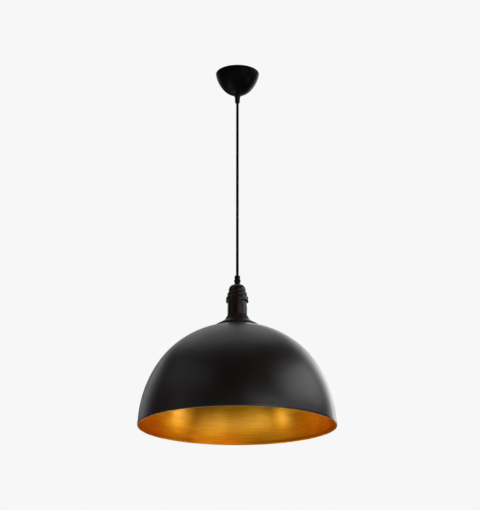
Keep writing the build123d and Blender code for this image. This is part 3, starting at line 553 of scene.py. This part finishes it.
class PENDANT_OT_shade(Operator):
    """Turn the spun shade with its hem, and its gold lining"""

    bl_idname = "pendant.shade"
    bl_label = "Shade and lining"

    def execute(self, context):
        s = context.scene.pendant_shade
        _, foot, outside = extent("shade")
        rim_z = foot + s.hem_height
        angles = 288

        def side(inset):
            return bowl_line(s, outside - s.hem_outside, rim_z, 1, inset, s.seat_radius)

        def neck(line, back):
            """The flat seat between two sides, as far as the hole."""
            return [(s.hole_radius, line[-1, 1]), (s.hole_radius, back[-1, 1])]

        outer, inner = side(0), side(s.wall)
        lining_out = side(s.wall + s.lining_gap)
        lining_in = side(s.wall + s.lining_gap + s.lining)
        foot_of_lining = lining_in[0, 1] - s.lining_gap
        inside = inner[0, 0] - s.hem_inside
        middle = (inside + outside) / 2
        lip = rounded(
            (inner[0, 0], foot_of_lining, 0), (inside, foot_of_lining, s.hem_inside * 0.6),
            (inside, foot, s.hem_rounding), (middle, foot, 0),
        )
        hem = rounded(
            (middle, foot, 0), (outside, foot, s.hem_rounding),
            (outside, rim_z, s.hem_rounding), (outer[0, 0], rim_z, 0),
        )
        line = np.concatenate([outer, neck(outer, inner), inner[::-1], lip, hem[1:-1]])
        start = len(outer) + 2 + len(inner) - 1
        gilded = np.zeros(len(line), bool)
        gilded[start : start + len(lip)] = True
        skin("shade", line, "lamp", "black_painted_steel", "black_painted_steel",
             "gold_leaf_lacquer", angles=angles, second=gilded)
        line = np.concatenate([lining_out, neck(lining_out, lining_in), lining_in[::-1]])
        piece = turned("gold_skin", line, angles)
        dress(piece, "lamp", "gold_leaf_lacquer", stands_for=["gold_lining"])
        return {"FINISHED"}


class PENDANT_OT_flange(Operator):
    """Turn the stepped flange on the shade's neck"""

    bl_idname = "pendant.flange"
    bl_label = "Neck flange"

    def execute(self, context):
        s = context.scene.pendant_shade
        top, _, radius = extent("neck_flange")
        seat, shade_foot, shade_radius = extent("shade")
        bore, seat_radius = context.scene.pendant_holder.skirt + THREAD_GAP, 25.5 * MM
        wall, inside = s.flange_wall, radius - s.flange_wall
        thin, hidden = 0.25 * MM, 0.5 * MM  # roundings of the lower edge and of the underside
        hub = top - s.flange_hub_height
        bead = hub - s.flange_bead_height
        step = bead - s.flange_step_height
        rim, rim_z = shade_radius - s.hem_outside, shade_foot + s.hem_height
        crown = bowl_line(s, rim, rim_z, 1, 0, s.seat_radius)[::-1]
        edge, heel = np.interp((radius, inside), *crown.T) + SEAT_GAP
        brim = edge + s.flange_edge
        head = rounded(
            (bore, top, 0), (s.flange_hub, top, FINE), (s.flange_hub, hub, FINE),
            (s.flange_bead, hub, s.flange_rounding), (s.flange_bead, bead, FINE),
            (s.flange_step, bead, s.flange_rounding), (s.flange_step, step, 0),
        )
        # The flare hangs below a straight line, as a parabola, by flange_sag at its middle.
        share = np.linspace(0, 1, 18)[:, None]
        start, end = np.array([s.flange_step, step]), np.array([radius, brim])
        side = np.array([-(start - end)[1], (start - end)[0]]) / np.linalg.norm(end - start)
        flare = start + (end - start) * share + 4 * share * (1 - share) * s.flange_sag * side
        tail = rounded(
            (*flare[-2], 0), (radius, brim, s.flange_rounding * 0.8), (radius, edge, thin),
            (inside, heel, thin), (inside, brim - wall, hidden),
            (s.flange_step + wall, step - 2 * wall, hidden), (seat_radius, seat, 0),
            (bore, seat, 0),
        )
        line = np.concatenate([head, flare[1:-2], tail])
        skin("neck_flange", line, "lamp", "black_painted_steel", "enamel")
        return {"FINISHED"}


class PENDANT_OT_cap(Operator):
    """Turn the ribbed cap of the lampholder"""

    bl_idname = "pendant.cap"
    bl_label = "Lampholder cap"

    def execute(self, context):
        s = context.scene.pendant_holder
        top, foot, collar = extent("holder_cap")
        barrel_top = high("holder_barrel").z
        bore, spigot = s.barrel + THREAD_GAP, context.scene.pendant_cup.spigot + THREAD_GAP
        shoulder = s.top_ring - s.cap_flat
        top_foot = top - s.top_height
        middle_foot = top_foot - s.middle_height
        top_ledge, middle_ledge = top_foot - s.groove_height, middle_foot - s.groove_height
        top_waist, middle_waist = s.top_ring - s.groove_depth, s.middle_ring - s.groove_depth
        roof, inner = top - s.cap_wall, s.top_ring - s.cap_wall
        nut = 8.2 * MM  # radius of the flat roof over the grip's nut
        soft = s.groove_depth * 0.9
        line = np.concatenate([
            arc((s.cap_flat, top - shoulder), shoulder, math.pi / 2, 0, 26),
            rounded(
                (s.top_ring, top - shoulder, 0), (s.top_ring, top_foot, soft),
                (top_waist, top_foot, 0), (top_waist, top_ledge, FINE),
                (s.middle_ring, top_ledge, s.ring_rounding), (s.middle_ring, middle_foot, soft),
                (middle_waist, middle_foot, 0), (middle_waist, middle_ledge, FINE),
                (collar, middle_ledge, s.ring_rounding), (collar, foot, soft),
                (bore, foot, FINE), (bore, barrel_top, 0), (s.bore, barrel_top, 0),
                (s.bore, top_ledge - s.cap_wall / 2, 0), (inner, top_ledge - s.cap_wall / 2, 0),
                (inner, roof - (inner - nut), 0),
            )[1:],
            arc((nut, roof - (inner - nut)), inner - nut, 0, math.pi / 2, 10)[1:],
            [(spigot, roof), (spigot, top)],
        ])
        skin("holder_cap", line, "lamp", "black_gloss_plastic")
        return {"FINISHED"}


class PENDANT_OT_barrel(Operator):
    """Turn the fluted barrel of the lampholder with its threaded skirt"""

    bl_idname = "pendant.barrel"
    bl_label = "Lampholder barrel"

    def execute(self, context):
        s = context.scene.pendant_holder
        top, end, cap_foot = high("holder_barrel").z, low("holder_barrel").z, low("holder_cap").z
        foot = cap_foot - s.barrel_height
        flute_top = cap_foot - s.flute_top
        flute_foot = foot + s.flute_bottom
        in_cap, plain = 7.5 * MM, 0.5 * MM  # no flutes inside the cap, no thread at the mouth
        run_out = end + s.thread_length - 1.5 * MM  # middle of the thread's run-out
        half, soft = s.flute_width / 2, 0.15 * MM  # soft rounds a flute's edge
        spread = half + 3 * soft
        across = np.linspace(-spread, spread, 31) / s.barrel
        turn = math.tau / s.flutes
        land = np.linspace(spread / s.barrel, turn - spread / s.barrel, 6)[1:-1]
        starts = s.flute_start + turn * np.arange(s.flutes)[:, None]
        angles = (starts + np.concatenate([across, land])).ravel()
        heights = np.concatenate([
            np.linspace(flute_top + 2 * soft, flute_top - spread, 22),
            np.linspace(flute_top - spread, flute_foot + spread, 8)[1:-1],
            np.linspace(flute_foot + spread, flute_foot - 2 * soft, 22),
        ])
        line = np.concatenate([
            [(s.bore, top), (s.barrel, top), (s.barrel, cap_foot)],
            upright(s.barrel, heights),
            [(s.barrel, foot + s.edge), (s.barrel - s.edge, foot), (s.skirt, foot)],
            upright(s.skirt, np.linspace(end + s.thread_length, end + plain, 57)),
            rounded(
                (s.skirt, end + plain, 0), (s.skirt, end, FINE), (s.lip, end, FINE),
                (s.lip, end + s.lip_height, 0), (s.bore, end + s.lip_height, 0),
            )[1:],
        ])

        def shape(r, z, a):
            """Flutes are round-ended slots: the distance to their middle line sets their depth.

            The thread's depth follows a triangle wave of height / pitch - turn, cut flat.
            """
            near = (a - s.flute_start + turn / 2) % turn - turn / 2
            past = np.maximum(np.maximum(z - flute_top + half, flute_foot + half - z), 0)
            depth = 1 - smooth_step(half, soft, np.hypot(near * s.barrel, past))
            fluted = r - depth * (r - (s.barrel - s.flute_depth) / np.cos(near))
            wave = (z / s.thread_pitch - a / math.tau) % 1
            flat = 0.2
            tooth = np.clip(2 * np.abs(wave - 0.5) * (1 + 2 * flat) - flat, 0, 1)
            cut = s.thread_depth * (1 - smooth_step(run_out, THREAD_FADE, z)) * tooth
            threaded = (z < end + s.thread_length + SAME) & (z > end + plain - SAME)
            skirt = np.where(threaded & (np.abs(r - s.skirt) < SAME), r - cut, r)
            return np.where((r > s.barrel - SAME) & (z < top - in_cap), fluted, skirt)

        skin("holder_barrel", line, "lamp", "black_gloss_plastic", angles=angles, shape=shape)
        return {"FINISHED"}


class PENDANT_OT_ring(Operator):
    """Turn the notched ring that clamps the shade"""

    bl_idname = "pendant.ring"
    bl_label = "Shade ring"

    def execute(self, context):
        s = context.scene.pendant_shade
        top, end, brim = extent("shade_ring")
        bore, brim_foot = context.scene.pendant_holder.skirt + THREAD_GAP, top - s.ring_brim
        brim_edge, foot_edge, bore_edge = 0.4 * MM, 0.5 * MM, MM
        turn = math.tau / s.notches
        reach = 1.05 * s.notch_radius / s.ring_radius  # just past the notch
        across = np.linspace(-reach, reach, 15), np.linspace(reach, turn - reach, 5)[1:-1]
        angles = (turn * np.arange(s.notches)[:, None] + np.concatenate(across)).ravel()
        line = rounded(
            (bore, top, 0), (brim, top, brim_edge), (brim, brim_foot, brim_edge),
            (s.ring_radius, brim_foot, 0), (s.ring_radius, end, foot_edge),
            (bore, end, foot_edge), (bore, end + bore_edge, 0),
        )

        def shape(r, z, a):
            """A notch is a circle at the edge: r is ring - sqrt(notch^2 - offset^2) inside it."""
            offset = s.ring_radius * np.sin((a + turn / 2) % turn - turn / 2)
            edge = s.ring_radius - np.sqrt(np.maximum(s.notch_radius**2 - offset**2, 0))
            return np.where(z < brim_foot + SAME, np.minimum(r, np.maximum(edge, bore)), r)

        skin("shade_ring", line, "lamp", "black_nylon", angles=angles, shape=shape)
        return {"FINISHED"}


class PENDANT_OT_shell(Operator):
    """Roll the brass Edison shell"""

    bl_idname = "pendant.shell"
    bl_label = "Screw shell"

    def execute(self, context):
        s = context.scene.pendant_holder
        top, end, outside = extent("screw_shell")
        inside, roof = outside - s.shell_sheet, top - s.shell_sheet
        corner = s.shell_shoulder + s.shell_sheet * (math.sqrt(2) - 1)
        outer, inner = (np.linspace(end, top - drop, 76) for drop in (s.shell_shoulder, corner))
        foot_run, roof_run = end + 1.6 * MM, top - corner - 1.4 * MM  # middles of the run-outs
        line = np.concatenate([
            upright(outside, outer),
            rounded(
                (outside, outer[-1], 0), (outside - s.shell_shoulder, top, 2 * FINE),
                (s.shell_hole, top, 0),
            )[1:],
            rounded(
                (s.shell_hole, roof, 0), (outside - corner, roof, FINE), (inside, inner[-1], 0),
            )[:-1],
            upright(inside, inner[::-1]),
        ])

        def shape(r, z, a):
            """The rolled thread: r moves in by depth * (1 - cos(2 pi z / pitch - a)) / 2."""
            begun, ended = (smooth_step(run, THREAD_FADE, z) for run in (foot_run, roof_run))
            ends = begun * (1 - ended)
            wave = (1 - np.cos(math.tau * z / s.shell_pitch - a)) / 2
            return np.where(r > outside - 1.5 * s.shell_sheet, r - s.shell_depth * wave * ends, r)

        skin("screw_shell", line, "lamp", "brass", angles=120, shape=shape)
        return {"FINISHED"}


class PENDANT_OT_cup(Operator):
    """Turn the ceiling cup and shape its lugs, stops and terminal post"""

    bl_idname = "pendant.cup"
    bl_label = "Ceiling cup"

    def execute(self, context):
        s = context.scene.pendant_cup
        top, flat, radius = extent("ceiling_cup")
        rim, nut = top - s.band, low("cup_grip_nut").z
        hole, bore, flat_radius = s.spigot + THREAD_GAP, radius - s.wall, s.collar + s.rounding
        hole_edge, boss_edge, post_edge = 0.2 * MM, 0.4 * MM, 0.6 * MM
        outer = bowl_line(s, radius, rim, -1, 0, flat_radius)
        inner = bowl_line(s, radius, rim, -1, s.wall, s.boss)
        line = np.concatenate([
            rounded((bore, top, 0), (radius, top, s.edge), (radius, rim, 0))[:-1],
            outer,
            rounded(
                (flat_radius, flat, 0), (hole, flat, hole_edge), (hole, nut, hole_edge),
                (s.boss, nut, boss_edge), (*inner[-1], 0),
            )[1:-1],
            inner[::-1],
        ])
        skin("ceiling_cup", line, "cup", "black_satin_plastic")
        strap, strap_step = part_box("ceiling_strap"), 4.6 * MM
        lug_foot = -strap_step + SEAT_GAP
        lug_top = lug_foot + s.lug_thickness
        stop = strap[1].y + SEAT_GAP
        wall, tip = bore + s.wall / 4, bore - s.lug_depth
        for side, way in ((1, "east"), (-1, "west")):
            for part, start, foot in (
                ("lug", -s.lug_reach, lug_foot), ("stop", stop, strap[0].z - s.stop_drop),
            ):
                y = np.linspace(start, stop + s.stop_width, 12)
                outline = np.concatenate([
                    np.column_stack([np.sqrt(wall**2 - y**2), y]),
                    np.column_stack([np.sqrt(tip**2 - y[::-1] ** 2), y[::-1]]),
                ]) * side
                dress(column(f"ceiling_cup_{part}_{way}", outline, foot, lug_top),
                      "cup", "black_satin_plastic")
        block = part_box("cup_terminal_block")
        middle, half = (block[0].x + block[1].x) / 2, s.seat / 2
        corners = ((1, 0), (1, 1), (-1, 1), (-1, -1), (1, -1), (1, 0))
        outline = rounded(*((middle + i * half, j * half, post_edge) for i, j in corners))[:-1]
        foot = np.interp(np.hypot(*outline.T), *inner[::-1].T) - s.wall / 2
        dress(column("ceiling_cup_post", outline, foot, block[0].z), "cup", "black_satin_plastic")
        return {"FINISHED"}


class PENDANT_OT_grips(Operator):
    """Turn the two cord grips with their bell mouths"""

    bl_idname = "pendant.grips"
    bl_label = "Cord grips"

    def execute(self, context):
        s, holder = context.scene.pendant_cup, context.scene.pendant_holder
        back, near_screw = math.pi / 2, 0.3  # the screw's direction, and the finer angles about it
        angles = np.concatenate([
            np.linspace(-1, 1, 25) * near_screw + back,
            np.linspace(near_screw, math.tau - near_screw, 72)[1:-1] + back,
        ])
        mouth_edge, end_edge, hole_soft, margin = 0.2 * MM, 0.4 * MM, 0.08 * MM, 0.45 * MM
        lip = s.mouth + 0.3 * MM

        def grip(node, body, outer, mouth, far, screw_z, screw_radius):
            """Outer line, far end and bore, with a bell mouth and a screw hole at the back."""
            inward = 1 if far > mouth else -1
            throat = mouth + inward * (s.mouth_depth + s.mouth_throat)
            way = rounded(
                (s.bore, far, 0), (s.bore, throat, 2 * FINE), (s.mouth, mouth, mouth_edge),
                (lip, mouth, 0),
            )

            def shape(r, z, a):
                """A round hole, 1 mm deep, round the screw at the angle back and height screw_z."""
                near = np.hypot(screw_radius * np.sin(a - back), z - screw_z)
                hollow = (1 - smooth_step(s.grub, hole_soft, near)) * (np.cos(a - back) > 0)
                return np.where(r > screw_radius - 0.4 * MM, r - MM * hollow, r)

            line = np.concatenate([outer, way])
            skin(node, line, body, "black_nylon", angles=angles, shape=shape)

        top, tip, flat = high("cup_grip").z, low("cup_grip").z, low("ceiling_cup").z
        collar = flat - s.collar_height
        rise = np.linspace(flat - margin, collar + margin, 22)
        outer = np.concatenate([
            rounded(
                (lip, tip, 0), (s.tip, tip, s.rounding * 0.7),
                (s.root, collar - s.rounding, s.rounding), (s.collar, collar, 0.4 * MM),
                (s.collar, rise[-1], 0),
            )[:-1],
            upright(s.collar, rise[::-1]),
            rounded(
                (s.collar, rise[0], 0), (s.collar, flat, FINE), (s.spigot, flat, 0),
                (s.spigot, top, end_edge), (s.bore, top, 0),
            )[1:-1],
        ])
        grip("cup_grip", "cup", outer, tip, top, flat - s.collar_height / 2, s.collar)

        top, end, cap = high("holder_grip").z, low("holder_grip").z, high("holder_cap").z
        foot = cap + holder.grip_bead_rise
        head = foot + holder.grip_bead_height
        bead, stem, edge = holder.grip_bead, holder.grip, 0.5 * MM
        soft = (bead - stem) / 2
        rise = np.linspace(head - soft, foot + soft, 24)
        outer = np.concatenate([
            rounded(
                (lip, top, 0), (stem - 0.8 * MM, top, edge), (stem, top - 1.6 * MM, 2 * FINE),
                (stem, head, edge), (bead, head, soft), (bead, rise[0], 0),
            )[:-1],
            upright(bead, rise),
            rounded(
                (bead, rise[-1], 0), (bead, foot, soft), (stem, foot, edge), (stem, cap, 0),
                (s.spigot, cap, 0), (s.spigot, end, end_edge), (s.bore, end, 0),
            )[1:-1],
        ])
        grip("holder_grip", "lamp", outer, top, end, (foot + head) / 2, bead)
        return {"FINISHED"}


class PENDANT_OT_cord(Operator):
    """Draw the cord, round-ended, from the cup's grip to the lampholder's"""

    bl_idname = "pendant.cord"
    bl_label = "Cord"

    def execute(self, context):
        start, end, radius = extent("suspension_cord")
        rows = 40
        # Each end is half a ball: a row is radius sin(c) wide and radius cos(c) from its middle.
        cap = np.linspace(0, math.pi / 2, 7)
        bend = radius * np.sin(cap)
        r = np.concatenate([bend, np.full(rows, radius), bend[::-1]])
        z = np.concatenate([
            start - radius + radius * np.cos(cap),
            np.linspace(start - radius, end + radius, rows + 2)[1:-1],
            end + radius - radius * np.cos(cap[::-1]),
        ])
        piece = turned("cord_skin", np.column_stack([r, z]), 24, closed=False)
        dress(piece, "cord", "cord_sheath", stands_for=["suspension_cord"])
        return {"FINISHED"}


# Fittings that keep their CAD form: node, body, and the record's slot, also the finish.
FITTINGS = (
    ("ceiling_strap", "strap", "zinc_steel"),
    ("cup_grip_nut", "cup", "black_nylon"),
    ("cup_grip_screw", "cup", "zinc_steel"),
    ("cup_cord_tail", "cup", "cord_sheath"),
    ("cup_live_wire", "cup", "brown_insulation"),
    ("cup_neutral_wire", "cup", "blue_insulation"),
    ("cup_terminal_block", "cup", "white_nylon"),
    ("cup_terminal_sleeves", "cup", "brass"),
    ("cup_terminal_screws", "cup", "zinc_steel"),
    ("cup_block_screw", "cup", "zinc_steel"),
    ("holder_grip_nut", "lamp", "black_nylon"),
    ("holder_grip_screw", "lamp", "zinc_steel"),
    ("holder_cord_tail", "lamp", "cord_sheath"),
    ("holder_live_wire", "lamp", "brown_insulation"),
    ("holder_neutral_wire", "lamp", "blue_insulation"),
    ("retaining_ring", "lamp", "spring_steel"),
    ("shade_washer", "lamp", "fibre_washer"),
    ("contact_block", "lamp", "white_ceramic"),
    ("live_terminal", "lamp", "brass"),
    ("neutral_terminal", "lamp", "brass"),
    ("holder_terminal_screws", "lamp", "zinc_steel"),
    ("centre_contact", "contact_pin", "brass"),
    ("contact_spring", "lamp", "spring_steel"),
)


class PENDANT_OT_fittings(Operator):
    """Give the small fittings smooth light and their finishes"""

    bl_idname = "pendant.fittings"
    bl_label = "Small fittings"

    def execute(self, context):
        for node, body, slot in FITTINGS:
            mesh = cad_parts[node].data.copy()
            mesh.materials.clear()
            piece = placed(f"{node}_fitting", mesh)
            dress(piece, body, slot, stands_for=[node])
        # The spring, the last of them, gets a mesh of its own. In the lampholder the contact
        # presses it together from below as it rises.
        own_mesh(piece)
        return {"FINISHED"}


# ==== Studio ====

LAMP_TARGET, LAMP_DISTANCE = Vector((0, 0, -0.68)), 3.0

# Soft boxes: name, azimuth and elevation in degrees, width and height in metres, watts. The broad
# ones at the right, behind and overhead model the dome; the low ones light its inside.
LAMPS = (
    ("right", 358, 30, 3.0, 1.4, 29),
    ("right_low", 306, 4, 2.0, 1.4, 17),
    ("right_behind", 70, 19, 2.0, 2.0, 26),
    ("right_limb", 56, 14, 1.0, 1.6, 9),
    ("right_over", 62, 48, 1.4, 1.4, 2.5),
    ("behind", 105, 38, 1.4, 1.4, 4),
    ("over", 105, 70, 3.0, 2.4, 15),
    ("top", 0, 88, 1.4, 1.4, 2),
    ("left", 200, 40, 3.0, 1.2, 4),
    ("left_behind", 130, 20, 1.2, 1.2, 4),
    ("left_low", 190, 0, 1.4, 1.4, 1.2),
    ("left_narrow", 202, 19, 0.4, 0.6, 0.6),
    ("front_narrow", 284, 19, 0.35, 0.5, 0.4),
    ("behind_low", 100, -40, 2.0, 1.4, 36),
    ("behind_low_left", 140, -34, 1.0, 1.0, 8),
    ("left_below", 184, -42, 1.0, 1.0, 34),
    ("below", 270, -82, 2.4, 2.4, 16),
    *((f"front_low_{azimuth}", azimuth, -13, width, 0.6, power) for azimuth, width, power in (
        (210, 0.8, 3.4), (240, 1.5, 4.8), (270, 1.5, 3.4), (302, 1.8, 3.8), (348, 1.0, 6.4),
    )),
    *((f"glint_{azimuth}", azimuth, elevation, 0.35, 0.5, power) for azimuth, elevation, power in (
        (212, -15, 1.0), (242, -19, 0.8), (258, -16, 0.8), (292, -17, 1.1), (354, -13, 3.0),
    )),
)


def lamp(name, place, width, height, power):
    """A soft box at a place, facing along its own -Z and hidden from the camera."""
    data = bpy.data.lights.new(name, "AREA")
    data.shape, data.size, data.size_y, data.energy = "RECTANGLE", width, height, power
    light = linked(name, data)
    light.location = place
    light.visible_camera = False
    return light


class PENDANT_OT_studio(Operator):
    """Set up the floor, the soft lights and the camera"""

    bl_idname = "pendant.studio"
    bl_label = "Studio"

    def execute(self, context):
        scene, hues = context.scene, context.scene.pendant_colours
        floor_z, reach, wash_height, wash_power, fill = -4.2, 20.0, 0.5, 4200, 0.03
        grid = np.linspace(-reach, reach, 21)
        x, y = np.meshgrid(grid, grid, indexing="ij")
        points = np.stack([x, y, np.full_like(x, floor_z)], 2)[:, ::-1]
        floor = surface("studio_floor", points, around=(False, False))
        # Matt floor paint, rolled on: pale, with broad soft unevenness.
        paint = finish("matt_floor_paint", hues.floor, 0.8, grain=(300, 0.1), tint=0.02)
        floor.data.materials.append(paint)
        floor.visible_glossy = floor.visible_diffuse = False
        lamp("floor_wash", (0, 0, floor_z + wash_height), 2 * reach, 2 * reach, wash_power)
        for name, azimuth, elevation, width, height, power in LAMPS:
            a, up = math.radians(azimuth), math.radians(elevation)
            away = Vector((math.cos(a) * math.cos(up), math.sin(a) * math.cos(up), math.sin(up)))
            light = lamp(name, LAMP_TARGET + LAMP_DISTANCE * away, width, height, power)
            light.rotation_euler = away.to_track_quat("Z", "Y").to_euler()

        scene.world = bpy.data.worlds.new("studio")
        scene.world.use_nodes = True
        tree = scene.world.node_tree
        tree.nodes.clear()
        seen = add(tree, "LightPath").outputs["Is Camera Ray"]
        lit, plain = (
            add(tree, "Background", {"Color": linear(colour), "Strength": strength})
            for colour, strength in (("#FFFFFF", fill), (hues.backdrop, 1.0))
        )
        add(tree, "OutputWorld", {"Surface": add(tree, "MixShader", {0: seen, 1: lit, 2: plain})})

        data = bpy.data.cameras.new("camera")
        data.lens, data.sensor_width = 104.44, 36.0
        camera = linked("camera", data)
        camera.location = (0.0055, -2.9239, -1.3602)
        camera.rotation_euler = (math.radians(107.957), 0, 0)
        scene.camera = camera
        scene.view_settings.view_transform = "Standard"
        return {"FINISHED"}


class PENDANT_PT_panel(bpy.types.Panel):
    """Sizes, colours and steps of the pendant light"""

    bl_idname = "PENDANT_PT_panel"
    bl_label = "Dome Pendant Light"
    bl_space_type = "VIEW_3D"
    bl_region_type = "UI"
    bl_category = "Pendant"

    def draw(self, context):
        for step in STEPS:
            self.layout.operator(step.bl_idname)
        for name in GROUPS:
            group = getattr(context.scene, name)
            box = self.layout.box()
            for key in group.__annotations__:
                box.prop(group, key)


GROUPS = {
    "pendant_shade": PendantShadeSizes,
    "pendant_holder": PendantHolderSizes,
    "pendant_cup": PendantCupSizes,
    "pendant_colours": PendantColours,
}
STEPS = (
    PENDANT_OT_finishes, PENDANT_OT_cord, PENDANT_OT_shade, PENDANT_OT_flange,
    PENDANT_OT_cap, PENDANT_OT_barrel, PENDANT_OT_ring, PENDANT_OT_shell,
    PENDANT_OT_cup, PENDANT_OT_grips, PENDANT_OT_fittings, PENDANT_OT_studio,
)


def register():
    for group in (*GROUPS.values(), *STEPS, PENDANT_PT_panel):
        bpy.utils.register_class(group)
    for name, group in GROUPS.items():
        setattr(bpy.types.Scene, name, PointerProperty(type=group))


def unregister():
    for name in GROUPS:
        delattr(bpy.types.Scene, name)
    for group in (PENDANT_PT_panel, *reversed(STEPS), *GROUPS.values()):
        bpy.utils.unregister_class(group)


def main():
    register()
    for step in STEPS:
        getattr(bpy.ops.pendant, step.bl_idname.split(".")[1])()


if __name__ == "__main__":
    main()
